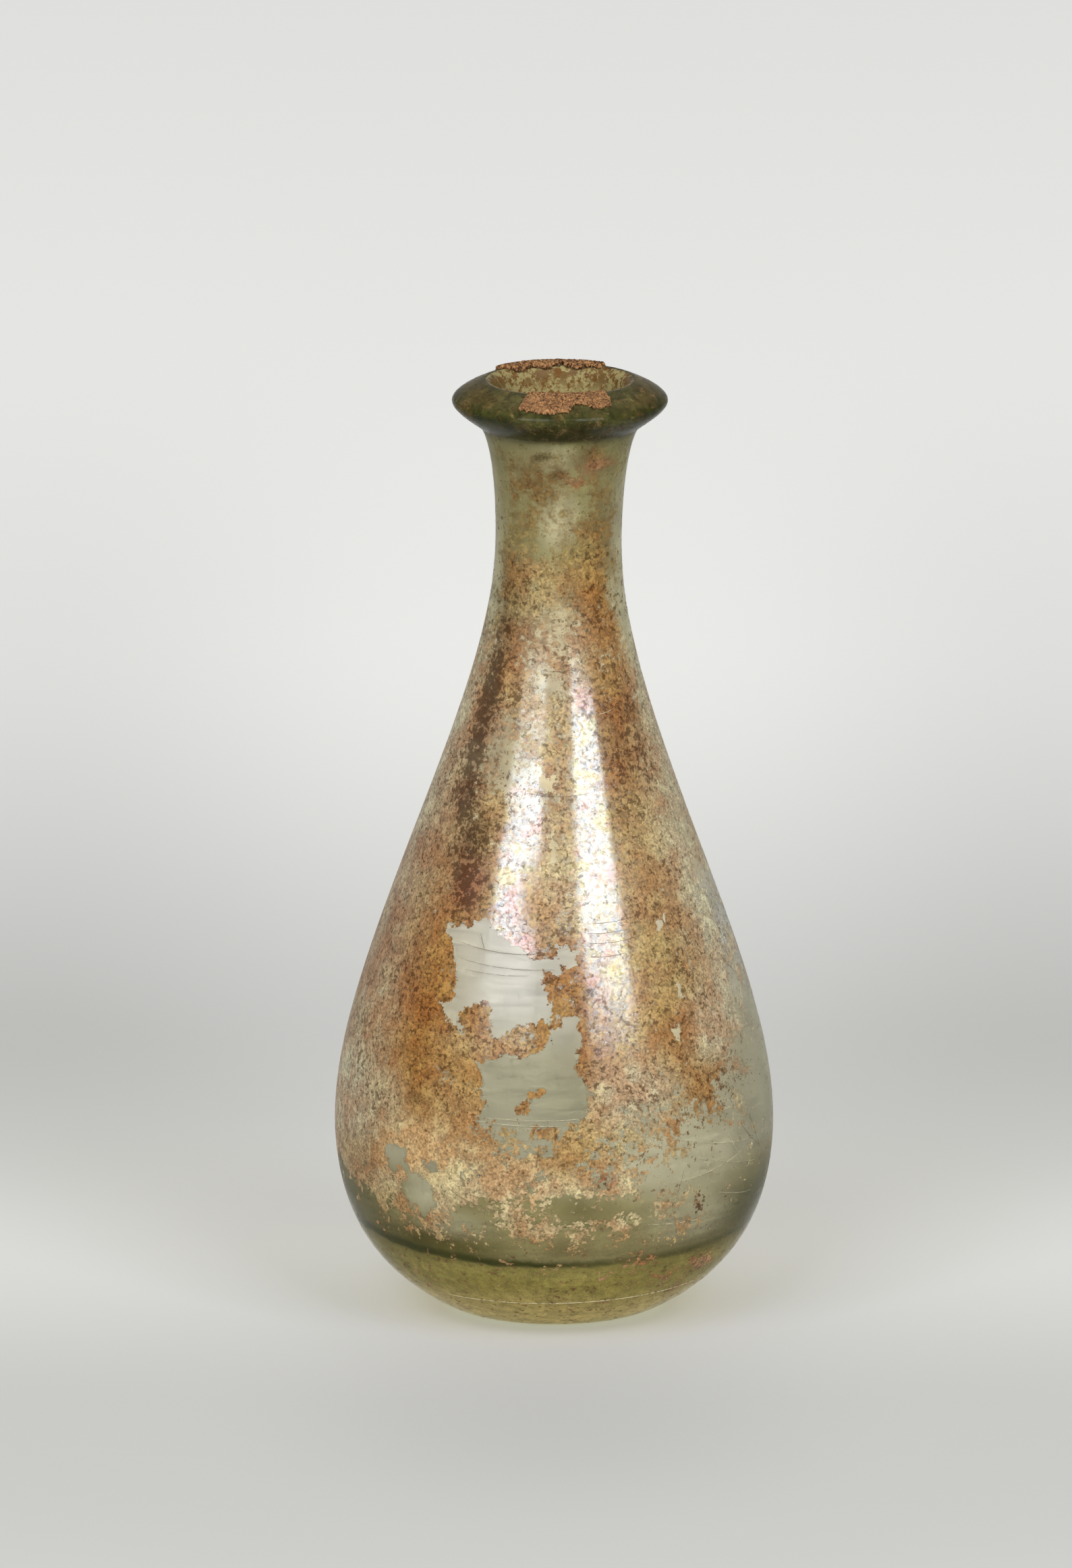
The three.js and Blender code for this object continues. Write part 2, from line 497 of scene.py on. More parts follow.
# how thick the dark specks lie, by height, and dabs that crowd or thin them
gritByHeight = [(3, 0.2), (12, 0.26), (16, 0.12), (24, 0.14), (40, 0.4), (100, 0.45), (113, 0.32),
                (124, 0.22), (130, 0.06), (141, 0.06), (144, 0.3)]
gritDabs = [
    (-50, 107, 2.2, 6, 0, 0.5),
    (-47.5, 99, 2.2, 6, 0, 0.55),
    (-49, 92, 2.5, 5, 0, 0.55),
    (-46, 86, 2.8, 4, 0, 0.5),
    (-38, 79, 3.6, 5, 0, 0.42),
    (-34, 73, 4.2, 4.5, 0, 0.28),
    (42, 96, 6, 10, 0, 0.25),
    (-60, 90, 5, 8, 0, 0.12),
    (-85, 70, 12, 30, 0, -0.1),
    (75, 66, 11, 30, 0, -0.15),
    (-30, 33, 12, 6, 0, -0.2),
    (34, 118, 4, 9, 0, 0.2),
    (-44, 117, 4, 8, 0, 0.1),
    (42, 23, 1.2, 2.6, 0, 0.5),
    (60, 33, 16, 8, 0, -0.18),
    (80, 46, 10, 14, 0, -0.2),
    (50, 10.5, 3, 0.8, -20, 0.5),
    (-13, 84, 3.4, 20, 0, -0.17),
    (18, 80, 3.6, 24, 0, -0.2),
]
# where the skin shines, by height, and dabs that dull it
pearlByHeight = [(34, 0), (44, 0.2), (54, 0.5), (64, 0.85), (76, 1), (99, 1), (107, 0.6), (118, 0)]
pearlByAngle = [(0, 1), (29, 1), (40, 0.35), (60, 0.18), (180, 0.25)]
pearlDabs = [
    (-7, 72, 2.6, 6, 0, -0.78),
    (-17, 97, 4, 8, 0, -0.75),
    (-28, 84, 3, 7, 0, -0.7),
    (-43, 84, 5, 12, 0, -0.4),
    (-36, 75, 4, 7, 0, -0.4),
    (-15, 53, 9, 4, 0, -0.25),
    (-50, 98, 4, 12, 0, -0.3),
    (27, 105, 3, 5, 0, -0.4),
]
# how soft the film's own edges are, by height: crisp lace on the body, stains on the neck
softByHeight = [(30, 0.06), (104, 0.1), (113, 0.2), (124, 0.3)]

# colours of the bloom under the film, some of them painted light at the base and painted shade low on the
# body, and dabs of it
bloomColours = {
    "cream": (0.34, 0.285, 0.19),
    "pale": (0.268, 0.257, 0.24),
    "green": (0.178, 0.167, 0.123),
    "mist": (0.265, 0.245, 0.175),
    "moss": (0.15, 0.128, 0.06),
    "shade": (0.045, 0.044, 0.016),
    "stem": (0.148, 0.135, 0.057),
    # painted shade low on the body, just above where the cavity ends
    "fernShade": (0.055, 0.045, 0.01),
    # dark glass of the lip's collar, also the colour of the painted dark line where the cavity ends
    "darkGlassAndShade": (0.032, 0.034, 0.009),
    "rim": (0.062, 0.055, 0.026),
    # olive glass of the base, lightened as painted light from the floor through the thick glass
    "yellowGlassAndLight": (0.216, 0.181, 0.066),
    "bark": (0.082, 0.052, 0.017),
    # pale neck colour, also laid on as a painted highlight down the middle of the neck
    "strawAndSheen": (0.3, 0.275, 0.185),
    "dun": (0.2, 0.165, 0.104),
    # darker band just under the painted dark line where the cavity ends
    "sill": (0.165, 0.137, 0.046),
    # painted light: the bottom of the base lit as if by the floor through the glass
    "footPaintedLight": (0.58, 0.45, 0.24),
}
bloomByHeight = [(3, "footPaintedLight"), (8, "yellowGlassAndLight"), (11, "yellowGlassAndLight"), (12.6, "sill"), (13.4, "sill"), (14.4, "moss"),
                 (25, "moss"), (30, "green"), (48, "green"), (56, "pale"), (68, "pale"), (74, "cream"),
                 (112, "cream"), (124, "stem"), (141, "stem"), (143, "darkGlassAndShade"), (147, "darkGlassAndShade"), (148.5, "rim")]
bloomDabs = [
    (40, 56, 16, 16, 0, "cream", 0.9),
    (-60, 52, 16, 18, 0, "cream", 0.9),
    (38, 31, 16, 8, 0, "mist", 0.9),
    (44, 20, 9, 4, 0, "mist", 0.7),
    # painted shade on the lower sides and low on the body, here and in the later shade dabs
    (84, 20.5, 17, 6.5, 0, "shade", 0.9),
    (-84, 20, 17, 8, 0, "shade", 0.75),
    (20, 23, 5, 3, 0, "moss", 0.5),
    # painted shade just above where the cavity ends
    (-36, 16.5, 13, 2.6, 0, "fernShade", 0.85),
    (46, 15.5, 9, 2, 0, "fernShade", 0.42),
    (-37, 25, 4, 3.5, 0, "mist", 0.9),
    (-29, 20.5, 6, 2.2, 0, "mist", 0.5),
    (-46, 30, 5, 2.5, 0, "mist", 0.3),
    (-70, 132, 5, 12, 0, "moss", 0.7),
    (-38, 138, 3, 5, 0, "moss", 0.6),
    # painted highlight: a soft band of light down the middle of the neck
    (0, 129, 3.2, 5, 0, "strawAndSheen", 0.85),
    (-4, 139.5, 4, 2.4, 0, "strawAndSheen", 0.55),
    (75, 128, 4, 10, 0, "strawAndSheen", 0.6),
    (-16, 139.8, 2.0, 0.9, 0, "bark", 1.0),
    (0, 137.1, 1.4, 0.9, 0, "bark", 1.0),
    (-23, 136, 2.0, 2.4, 20, "bark", 0.75),
    (-12, 133.5, 2.2, 1.8, 0, "bark", 0.6),
    (27, 140, 2.2, 1.8, 0, "bark", 0.75),
    (14, 139.2, 1.6, 0.8, 0, "bark", 0.6),
    (6, 126, 1.6, 2.4, 0, "bark", 0.4),
    (-80, 116, 4, 18, 0, "strawAndSheen", 0.9),
    (80, 116, 4, 18, 0, "strawAndSheen", 0.9),
    (-75, 148.8, 4, 0.9, 0, "bark", 0.7),
    (-105, 149, 4, 0.9, 0, "bark", 0.8),
    (78, 148.8, 4, 0.9, 0, "bark", 0.7),
    (105, 149, 4, 0.9, 0, "bark", 0.8),
    (38, 124, 2.6, 7, 0, "bark", 0.5),
    (30, 137.5, 4, 1.6, -6, "bark", 0.6),
    (-45, 118, 3.5, 6, 0, "bark", 0.6),
    (-55, 148.6, 3, 0.8, 0, "bark", 0.7),
    (-15, 146, 4, 0.9, 0, "stem", 0.4),
    (58, 148.2, 3, 0.8, 0, "bark", 0.6),
    (35, 145.5, 4, 0.8, 0, "stem", 0.4),
    # painted light on the base
    (-5, 6, 9, 3, 0, "footPaintedLight", 0.5),
    (38, 10, 8, 2.5, 0, "moss", 0.35),
    (-35, 93, 7, 8, 0, "dun", 0.75),
    (8, 42, 7, 6, 0, "shade", 0.2),
    (82, 45, 11, 15, 0, "mist", 0.7),
    # painted shade
    (9, 23.5, 7, 2.2, 0, "fernShade", 0.45),
    (8, 12, 6, 1.2, 0, "moss", 0.3),
    (-33, 60, 4, 7, 0, "green", 0.25),
    (66, 19, 7, 4, 0, "shade", 0.4),
    (4, 17, 4, 1.5, 0, "bark", 0.35),
]
# how much the bloom hides, by height
hazeByHeight = [(0, 0.75), (12.6, 0.75), (13.6, 0.98), (20, 0.97), (30, 0.9), (110, 0.9), (122, 0.72),
                (141, 0.76), (143.5, 0.97)]
dabFalloff = 1.5  # higher gives a dab a flatter middle and a harder edge


def dab(surface, spot):  # soft oval weight of one dab at every vertex
    angle, height, radius = surface
    atAngle, atHeight, halfWidth, halfHeight, slant = spot[:5]
    across = np.radians(turned(angle - atAngle)) * radius
    up = height - atHeight
    slant = math.radians(slant)
    along = across * math.cos(slant) + up * math.sin(slant)
    beside = up * math.cos(slant) - across * math.sin(slant)
    return np.exp(-((along / halfWidth) ** 2 + (beside / halfHeight) ** 2) ** dabFalloff)


def dabValues(values, surface, dabs):
    for spot in dabs:
        values = values + dab(surface, spot) * spot[5]
    return values


def dabHues(colour, surface, dabs, hues):
    for spot in dabs:
        weight = (dab(surface, spot) * spot[6])[:, None]
        colour = colour * (1 - weight) + np.array(hues[spot[5]] + (1.0,)) * weight
    return colour


def insideOutline(across, along, outline):
    inside = np.zeros(len(across), bool)
    for k in range(len(outline)):
        (ax, ay), (bx, by) = outline[k - 1], outline[k]
        if ay == by:
            continue
        crossing = (ay > along) != (by > along)
        inside ^= crossing & (across < (bx - ax) * (along - ay) / (by - ay) + ax)
    return inside


def insideBy(surface, outline):  # mm inside an outline of degrees and heights, negative outside
    corners = np.array(outline, float)
    middle, level = corners.mean(axis=0)
    scale = math.radians(1) * np.interp(level, wallHeights, wallRadii)
    corners[:, 0] = (corners[:, 0] - middle) * scale
    x = turned(surface[0] - middle) * scale
    y = surface[1]
    nearest = np.full(len(x), np.inf)
    for k in range(len(corners)):
        (ax, ay), (bx, by) = corners[k - 1], corners[k]
        along = ((x - ax) * (bx - ax) + (y - ay) * (by - ay)) / ((bx - ax) ** 2 + (by - ay) ** 2)
        along = np.clip(along, 0, 1)
        nearest = np.minimum(nearest, np.hypot(x - ax - along * (bx - ax), y - ay - along * (by - ay)))
    return np.where(insideOutline(x, y, corners), nearest, -nearest)


def writePaint(piece, name, values):
    kind = "FLOAT_COLOR" if values.ndim == 2 else "FLOAT"
    layer = piece.data.attributes.new(name, kind, "POINT")
    layer.data.foreach_set("color" if values.ndim == 2 else "value", values.astype(np.float32).ravel())


def byHeight(pairs, height):
    return np.interp(height, [pair[0] for pair in pairs], [pair[1] for pair in pairs])


def hueByHeight(pairs, hues, height):
    steps = [pair[0] for pair in pairs]
    rows = np.array([hues[pair[1]] + (1.0,) for pair in pairs])
    return np.stack([np.interp(height, steps, rows[:, k]) for k in range(4)], axis=1)


def paintFilm(piece):
    surface = bearings(readPoints(piece))
    angle, height = surface[:2]
    colour = dabHues(hueByHeight(filmByHeight, earth, height), surface, filmDabs, earth)
    cover = dabValues(byHeight(coverByHeight, height), surface, coverDabs)
    writePaint(piece, "cover", np.clip(cover, 0, 1))
    bare = np.full(len(height), filmShape["unflaked"])
    for outline in [flakeUpper, flakeLower, flakeShoulder]:
        bare = np.maximum(bare, insideBy(surface, outline))
    bare = np.minimum(bare, byHeight(bareLimit, height))
    for outline in flakeSmall:
        bare = np.maximum(bare, insideBy(surface, outline))
    for outline in flakeIslands:
        bare = np.minimum(bare, -insideBy(surface, outline))
    writePaint(piece, "bare", bare)
    writePaint(piece, "grit", dabValues(byHeight(gritByHeight, height), surface, gritDabs))
    pearl = dabValues(byHeight(pearlByHeight, height), surface, pearlDabs)
    pearl = np.clip(pearl, 0, 1) * byHeight(pearlByAngle, np.abs(angle))
    writePaint(piece, "pearl", pearl)
    colour[:, :3] *= 1 + filmShape["underSkin"] * pearl[:, None]
    writePaint(piece, "tint", colour)
    writePaint(piece, "soft", byHeight(softByHeight, height))


def makeFilm():
    wanted = (outward > filmShape["facing"]) & (faceHeight > filmShape["lowest"])
    piece = peel(bottleGlass, wanted, filmShape["name"], filmShape["lift"])
    points = readPoints(piece)
    pairs = np.zeros(len(piece.data.edges) * 2, int)
    piece.data.edges.foreach_get("vertices", pairs)
    rise = np.abs(points[pairs[0::2], 2] - points[pairs[1::2], 2])
    run = np.linalg.norm(points[pairs[0::2]] - points[pairs[1::2]], axis=1)
    upright = (rise > filmShape["steep"] * run) & (run > filmShape["longEdge"])
    only(piece)
    bpy.ops.object.mode_set(mode="EDIT")
    bpy.ops.mesh.select_mode(type="EDGE")
    bpy.ops.mesh.select_all(action="DESELECT")
    bpy.ops.object.mode_set(mode="OBJECT")
    piece.data.edges.foreach_set("select", upright)
    bpy.ops.object.mode_set(mode="EDIT")
    bpy.ops.mesh.subdivide(number_cuts=filmShape["extraRows"])
    bpy.ops.object.mode_set(mode="OBJECT")
    return piece


weatheringFilm = makeFilm()
filmHeight, filmRadius = bearings(readPoints(weatheringFilm))[1:]
order = np.argsort(filmHeight)
wallHeights = filmHeight[order]
wallRadii = filmRadius[order]
paintFilm(weatheringFilm)
print("film", len(weatheringFilm.data.polygons), "faces")


def makeSkin():
    only(weatheringFilm)
    bpy.ops.object.duplicate()
    piece = bpy.context.active_object
    piece.name = skinShape["name"]
    editAll(piece)
    bpy.ops.transform.shrink_fatten(value=skinShape["lift"] * mm)
    bpy.ops.object.mode_set(mode="OBJECT")
    return piece


iridescentSkin = makeSkin()
print("skin", len(iridescentSkin.data.polygons), "faces")


# Pale bloom just under the outer surface, carrying painted light on the base and painted shade low on the
# body, and on the inner wall as seen in the mouth

outerBloomShape = {"name": "outer_bloom", "sink": 0.1, "paintedShadeLine": 13.9, "floorRise": 1.5, "riseAngle": 65,
                   "riseBelow": 30}
innerBloomShape = {"name": "inner_bloom", "sink": 0.12, "lowest": 9, "highest": 150, "facing": -0.03,
                   "floorFacing": 0.8, "floorBelow": 14}


def paintOuterBloom(piece):
    surface = bearings(readPoints(piece))
    angle, height = surface[:2]
    share = np.minimum(np.abs(angle) / outerBloomShape["riseAngle"], 1)
    line = outerBloomShape["floorRise"] * share ** 2  # the cavity's end, as seen
    level = np.where(height < outerBloomShape["riseBelow"], height - line, height)
    colour = hueByHeight(bloomByHeight, bloomColours, level)
    writePaint(piece, "veil", dabHues(colour, surface, bloomDabs, bloomColours))
    writePaint(piece, "haze", byHeight(hazeByHeight, height))


def makeOuterBloom():
    wanted = (outward > filmShape["facing"]) & (faceHeight > filmShape["lowest"])
    piece = peel(bottleGlass, wanted, outerBloomShape["name"], -outerBloomShape["sink"])
    paintOuterBloom(piece)
    return piece


def makeInnerBloom():
    inner = (outward < innerBloomShape["facing"]) & (faceHeight < innerBloomShape["highest"])
    level = faceNormals[:, 2] > innerBloomShape["floorFacing"]
    floor = level & (faceHeight < innerBloomShape["floorBelow"])
    wanted = (inner | floor) & (faceHeight > innerBloomShape["lowest"])
    return peel(bottleGlass, wanted, innerBloomShape["name"], -innerBloomShape["sink"])


outerBloom = makeOuterBloom()
innerBloom = makeInnerBloom()
print("bloom", len(outerBloom.data.polygons), "and", len(innerBloom.data.polygons), "faces")


# Earth crust left on the lip, at the front and along the back of the mouth

# outlines in degrees from the bearing and mm from the axis
lipCrusts = [
    {"name": "rim_crust_front", "bearing": 4, "seed": 3, "rough": 0.2, "thick": 0.3,
     "outline": [(-28, 11.6), (-28, 15.6), (-14, 16.2), (0, 15.9), (5, 14.2), (12, 14.6), (18, 15.4),
                 (27, 15.2), (30, 13.6), (30, 11.6)]},
    {"name": "rim_crust_back", "bearing": 187, "seed": 7, "rough": 0.26, "thick": 0.5,
     "outline": [(-42, 11.2), (-40, 12.6), (-33, 12.2), (-24, 12.9), (-12, 12.5), (0, 12.9), (12, 12.4),
                 (25, 13), (36, 12.6), (41, 13.3), (44, 12), (38, 11.2), (30, 10.7), (18, 11.1), (5, 10.7),
                 (-8, 11.2), (-20, 10.7), (-32, 11.2)]},
]
crustShape = {"lowest": 147, "facing": -0.3, "lift": 0.05, "crumble": 6, "crumbleOut": 0.7, "evenness": 0.3,
              "lumpsOut": 0.8, "proud": 0.6}


def makeCrust(crust):
    onLip = (faceHeight > crustShape["lowest"]) & (faceNormals[:, 2] > crustShape["facing"])
    across = turned(faceAngle - crust["bearing"])
    wanted = onLip & insideOutline(across, faceRadius, crust["outline"])
    piece = peel(bottleGlass, wanted, crust["name"], crustShape["lift"])
    editAll(piece)
    bpy.ops.mesh.subdivide(number_cuts=1)
    bpy.ops.mesh.subdivide(number_cuts=1, fractal=crust["rough"] * crustShape["crumble"],
                           fractal_along_normal=crustShape["crumbleOut"], seed=crust["seed"])
    bpy.ops.mesh.select_all(action="SELECT")
    bpy.ops.transform.vertex_random(offset=crust["rough"] * mm, uniform=crustShape["evenness"],
                                    normal=crustShape["lumpsOut"], seed=crust["seed"])
    bpy.ops.object.mode_set(mode="OBJECT")
    wall = piece.modifiers.new("thickness", "SOLIDIFY")
    wall.thickness = crust["thick"] * mm
    wall.offset = crustShape["proud"]
    bpy.ops.object.modifier_apply(modifier="thickness")
    bpy.ops.object.shade_smooth()
    return piece


crustPieces = [makeCrust(crust) for crust in lipCrusts]
print("crusts", [len(piece.data.polygons) for piece in crustPieces])


# Scratches: fine lines on the outer surface, from degrees and height to degrees and height, with a sag in mm

scratchSets = [
    {"name": "scratches_dark", "material": "darkScratch", "radius": 0.036, "lift": 0.08, "lines": [
        (-17, 87.5, 21, 87.5, 0.6), (-14, 106, 14, 106, 0.3), (-34, 64.5, -4, 63.5, 0.5),
        (-32, 62, 0, 61.2, 0.4), (-30, 60.5, -8, 60.2, 0.2), (10, 68, 30, 68.5, 0.3),
        (11, 66.5, 27, 66.7, 0.2), (12, 65, 33, 65.8, 0.4), (12, 63, 24, 63.2, 0.2),
        (-26, 66, -23.5, 63.5, 0.1), (-4, 34.5, -4.8, 30.5, 0.1), (36, 29, 34, 24.5, 0.2),
        (-30, 27, -20, 24, 0.4), (62, 36, 70, 28, 0.6), (58, 34, 69, 29, 0.5), (66, 60, 74, 56, 0.3),
    ]},
    {"name": "scratches_pale", "material": "paleScratch", "radius": 0.04, "lift": 0.08, "lines": [
        (-22, 38.5, 14, 38.8, 0.4), (-20, 37.7, 4, 37.5, 0.2), (20, 99, 38, 99.4, 0.3),
        (34, 34, 62, 31, 0.5), (40, 30.5, 66, 27, 0.4), (30, 27, 58, 29.5, 0.6), (48, 24, 66, 22, 0.3),
        (44, 36.5, 60, 38, 0.2), (52, 33, 60, 27, 0.3), (26, 20.5, 44, 20, 0.2), (56, 42, 68, 39, 0.3),
    ]},
    {"name": "foot_line", "material": "paleScratch", "radius": 0.048, "lift": 0.06, "lines": [
        (-46, 6.3, 60, 7.5, 0.4),
    ]},
]
scratchShape = {"fewestSteps": 6, "roundness": 1, "thinEnd": 0.35, "taper": 0.5}


def onSurface(degrees, height, lift):
    radius = float(np.interp(height, wallHeights, wallRadii)) + lift
    turn = math.radians(degrees)
    return (float(leanAt(height)) + radius * math.sin(turn), -radius * math.cos(turn), height)


def makeScratches(group):
    lines = bpy.data.curves.new(group["name"], "CURVE")
    lines.dimensions = "3D"
    lines.bevel_depth = group["radius"] * mm
    lines.bevel_resolution = scratchShape["roundness"]
    lines.use_fill_caps = True
    for fromAngle, fromHeight, toAngle, toHeight, sag in group["lines"]:
        steps = max(scratchShape["fewestSteps"], int(abs(toAngle - fromAngle)))
        spline = lines.splines.new("POLY")
        spline.points.add(steps)
        for k, point in enumerate(spline.points):
            share = k / steps
            degrees = fromAngle + (toAngle - fromAngle) * share
            height = fromHeight + (toHeight - fromHeight) * share - sag * 4 * share * (1 - share)
            point.co = tuple(Vector(onSurface(degrees, height, group["lift"])) * mm) + (1,)
            middle = math.sin(math.pi * share) ** scratchShape["taper"]
            point.radius = scratchShape["thinEnd"] + (1 - scratchShape["thinEnd"]) * middle
    piece = bpy.data.objects.new(group["name"], lines)
    bpy.context.scene.collection.objects.link(piece)
    only(piece)
    bpy.ops.object.convert(target="MESH")
    return bpy.context.active_object


scratchPieces = [makeScratches(group) for group in scratchSets]
print("scratches", [len(piece.data.polygons) for piece in scratchPieces])


# Materials: a noise is the size of a lump in mm, detail and roughness, and a range spreads it over new values

flakeRag = {"lumps": (1.6, 3.0, 0.6), "lumpReach": 3.4, "crumbs": (0.5, 2.0, 0.6), "crumbReach": 1.4,
            "edge": (-0.06, 0.06)}  # reach in mm


def makeFlakeEdge():  # ragged edge of the flaked patches
    tree, start, end = newGroup("flakeEdge", [("Vector", "Vector"), ("Bare", "Float")], [("Mask", "Float")])
    place = start.outputs["Vector"]
    lumps = maths(tree, "SUBTRACT", noiseAt(tree, place, *flakeRag["lumps"]), 0.5)
    crumbs = maths(tree, "SUBTRACT", noiseAt(tree, place, *flakeRag["crumbs"]), 0.5)
    ragged = maths(tree, "ADD", times(tree, lumps, flakeRag["lumpReach"]),
                   times(tree, crumbs, flakeRag["crumbReach"]))
    edge = maths(tree, "ADD", start.outputs["Bare"], ragged)
    tree.links.new(ranged(tree, edge, *flakeRag["edge"]), end.inputs["Mask"])
    return tree


soilLook = {
    "fine": {"noise": (0.4, 3.0, 0.65), "range": (0.3, 0.7, 0.5, 1.5)},
    "middle": {"noise": (1.4, 5.0, 0.74), "range": (0.32, 0.68, 0.68, 1.32)},
    "broad": {"noise": (6.5, 4.0, 0.62), "rusty": (0.51, 0.4), "creamy": (0.49, 0.61)},
    "crowd": {"noise": (7.5, 3.0, 0.6), "range": (0.35, 0.65, 0.6, 1.35), "pull": 0.26},
    "speck": {"noise": (0.85, 4.0, 0.68), "range": (0.65, 0.69)},
    "light": {"noise": (1.6, 5.0, 0.7), "range": (0.53, 0.61)},
    "lumps": {"small": (1.0, 5.0, 0.75), "large": (4.2, 4.0, 0.65), "range": (0.33, 0.67)},
}


def makeSoilGrain():
    outputs = [(name, "Float") for name in ("Tone", "Rusty", "Creamy", "Dark", "Light", "Lumps")]
    tree, start, end = newGroup("soilGrain", [("Vector", "Vector"), ("Grit", "Float")], outputs)
    place = start.outputs["Vector"]
    fine = spread(tree, place, soilLook["fine"])
    middle = spread(tree, place, soilLook["middle"])
    tree.links.new(times(tree, fine, middle), end.inputs["Tone"])
    broad = noiseAt(tree, place, *soilLook["broad"]["noise"])
    tree.links.new(ranged(tree, broad, *soilLook["broad"]["rusty"]), end.inputs["Rusty"])
    tree.links.new(ranged(tree, broad, *soilLook["broad"]["creamy"]), end.inputs["Creamy"])
    crowd = spread(tree, place, soilLook["crowd"])
    lower = times(tree, times(tree, start.outputs["Grit"], crowd), soilLook["crowd"]["pull"])
    speck = maths(tree, "ADD", noiseAt(tree, place, *soilLook["speck"]["noise"]), lower)
    tree.links.new(ranged(tree, speck, *soilLook["speck"]["range"]), end.inputs["Dark"])
    tree.links.new(spread(tree, place, soilLook["light"], smooth=True), end.inputs["Light"])
    small = times(tree, noiseAt(tree, place, *soilLook["lumps"]["small"]), 0.5)
    large = times(tree, noiseAt(tree, place, *soilLook["lumps"]["large"]), 0.5)
    lumps = ranged(tree, maths(tree, "ADD", small, large), *soilLook["lumps"]["range"], smooth=False)
    tree.links.new(lumps, end.inputs["Lumps"])
    return tree


flakeEdge = makeFlakeEdge()
soilGrain = makeSoilGrain()


def soilOn(tree, place, grit):
    return useGroup(tree, soilGrain, {"Vector": place, "Grit": grit}).outputs


def unflaked(tree, place):  # 1 where the film is still on the glass
    flaked = useGroup(tree, flakeEdge, {"Vector": place, "Bare": painted(tree, "bare")})
    return maths(tree, "SUBTRACT", 1.0, flaked.outputs["Mask"])


def addBump(tree, shader, height, bump):  # strength, and depth in mm
    made = addNode(tree, "Bump", {"Strength": bump[0], "Distance": bump[1] * mm, "Height": height})
    tree.links.new(made.outputs[0], shader.inputs["Normal"])


def thinShadow(tree, shader, colour):  # lamp light passes a thin layer with a plain tint
    clear = addNode(tree, "BsdfTransparent", {"Color": colour})
    shadow = addNode(tree, "LightPath").outputs["Is Shadow Ray"]
    both = addNode(tree, "MixShader", {0: shadow, 1: shader.outputs[0], 2: clear.outputs[0]})
    tree.links.new(both.outputs[0], tree.nodes["Material Output"].inputs["Surface"])


filmLook = {
    "rusty": 0.8, "rustTint": (0.92, 0.76, 0.66, 1), "creamy": 0.7, "creamTint": (1.2, 1.36, 1.36, 1),
    "specks": 0.85, "speckTint": (0.3, 0.26, 0.22, 1), "pale": 0.7, "paleTint": (1.5, 1.62, 1.66, 1),
    "bump": (0.3, 0.06), "shadow": (0.91, 0.905, 0.895, 1),
    "shader": {"Roughness": 0.75, "Specular IOR Level": 0.06, "Sheen Weight": 0.3, "Sheen Roughness": 0.3,
               "Sheen Tint": (1.0, 0.96, 0.88, 1)},
}


def filmMaterial():
    made, tree, shader = newMaterial("soilFilm")
    place = millimetres(tree)
    grain = soilOn(tree, place, painted(tree, "grit"))
    tint = painted(tree, "tint", "Color")
    rusty = times(tree, grain["Rusty"], filmLook["rusty"])
    tint = mixed(tree, rusty, tint, filmLook["rustTint"], "MULTIPLY")
    creamy = times(tree, grain["Creamy"], filmLook["creamy"])
    tint = mixed(tree, creamy, tint, filmLook["creamTint"], "MULTIPLY")
    colour = mixed(tree, 1.0, tint, grain["Tone"], "MULTIPLY")
    specks = times(tree, grain["Dark"], filmLook["specks"])
    colour = mixed(tree, specks, colour, mixed(tree, 1.0, tint, filmLook["speckTint"], "MULTIPLY"))
    pale = mixed(tree, 1.0, tint, filmLook["paleTint"], "MULTIPLY")
    colour = mixed(tree, times(tree, grain["Light"], filmLook["pale"]), colour, pale)
    tree.links.new(colour, shader.inputs["Base Color"])
    missing = maths(tree, "SUBTRACT", 1.0, painted(tree, "cover"))
    soft = painted(tree, "soft")
    covered = ranged(tree, grain["Lumps"], maths(tree, "SUBTRACT", missing, soft),
                     maths(tree, "ADD", missing, soft))
    there = maths(tree, "MAXIMUM", covered, specks)
    tree.links.new(times(tree, there, unflaked(tree, place)), shader.inputs["Alpha"])
    addBump(tree, shader, grain["Tone"], filmLook["bump"])
    plug(tree, shader, filmLook["shader"])
    thinShadow(tree, shader, filmLook["shadow"])
    return made


skinLook = {
    "layers": {"noise": (4.0, 5.0, 0.65, 0.4), "range": (0.3, 0.7)},
    "tints": [(0.0, (0.57, 0.6, 0.51)), (0.2, (0.47, 0.38, 0.5)), (0.36, (0.56, 0.59, 0.61)),
              (0.5, (0.31, 0.43, 0.54)), (0.62, (0.57, 0.6, 0.6)), (0.76, (0.38, 0.49, 0.4)),
              (0.88, (0.6, 0.58, 0.42)), (1.0, (0.44, 0.38, 0.51))],
    "ripple": (0.75, 4.0, 0.7), "worn": (0.38, 0.56, 0.5, 1.0), "specks": 0.5, "strength": 0.238,
    "bump": (1.0, 0.004), "shadow": (0.96, 0.96, 0.96, 1),
    "shader": {"Metallic": 1.0, "Roughness": 0.17},
}


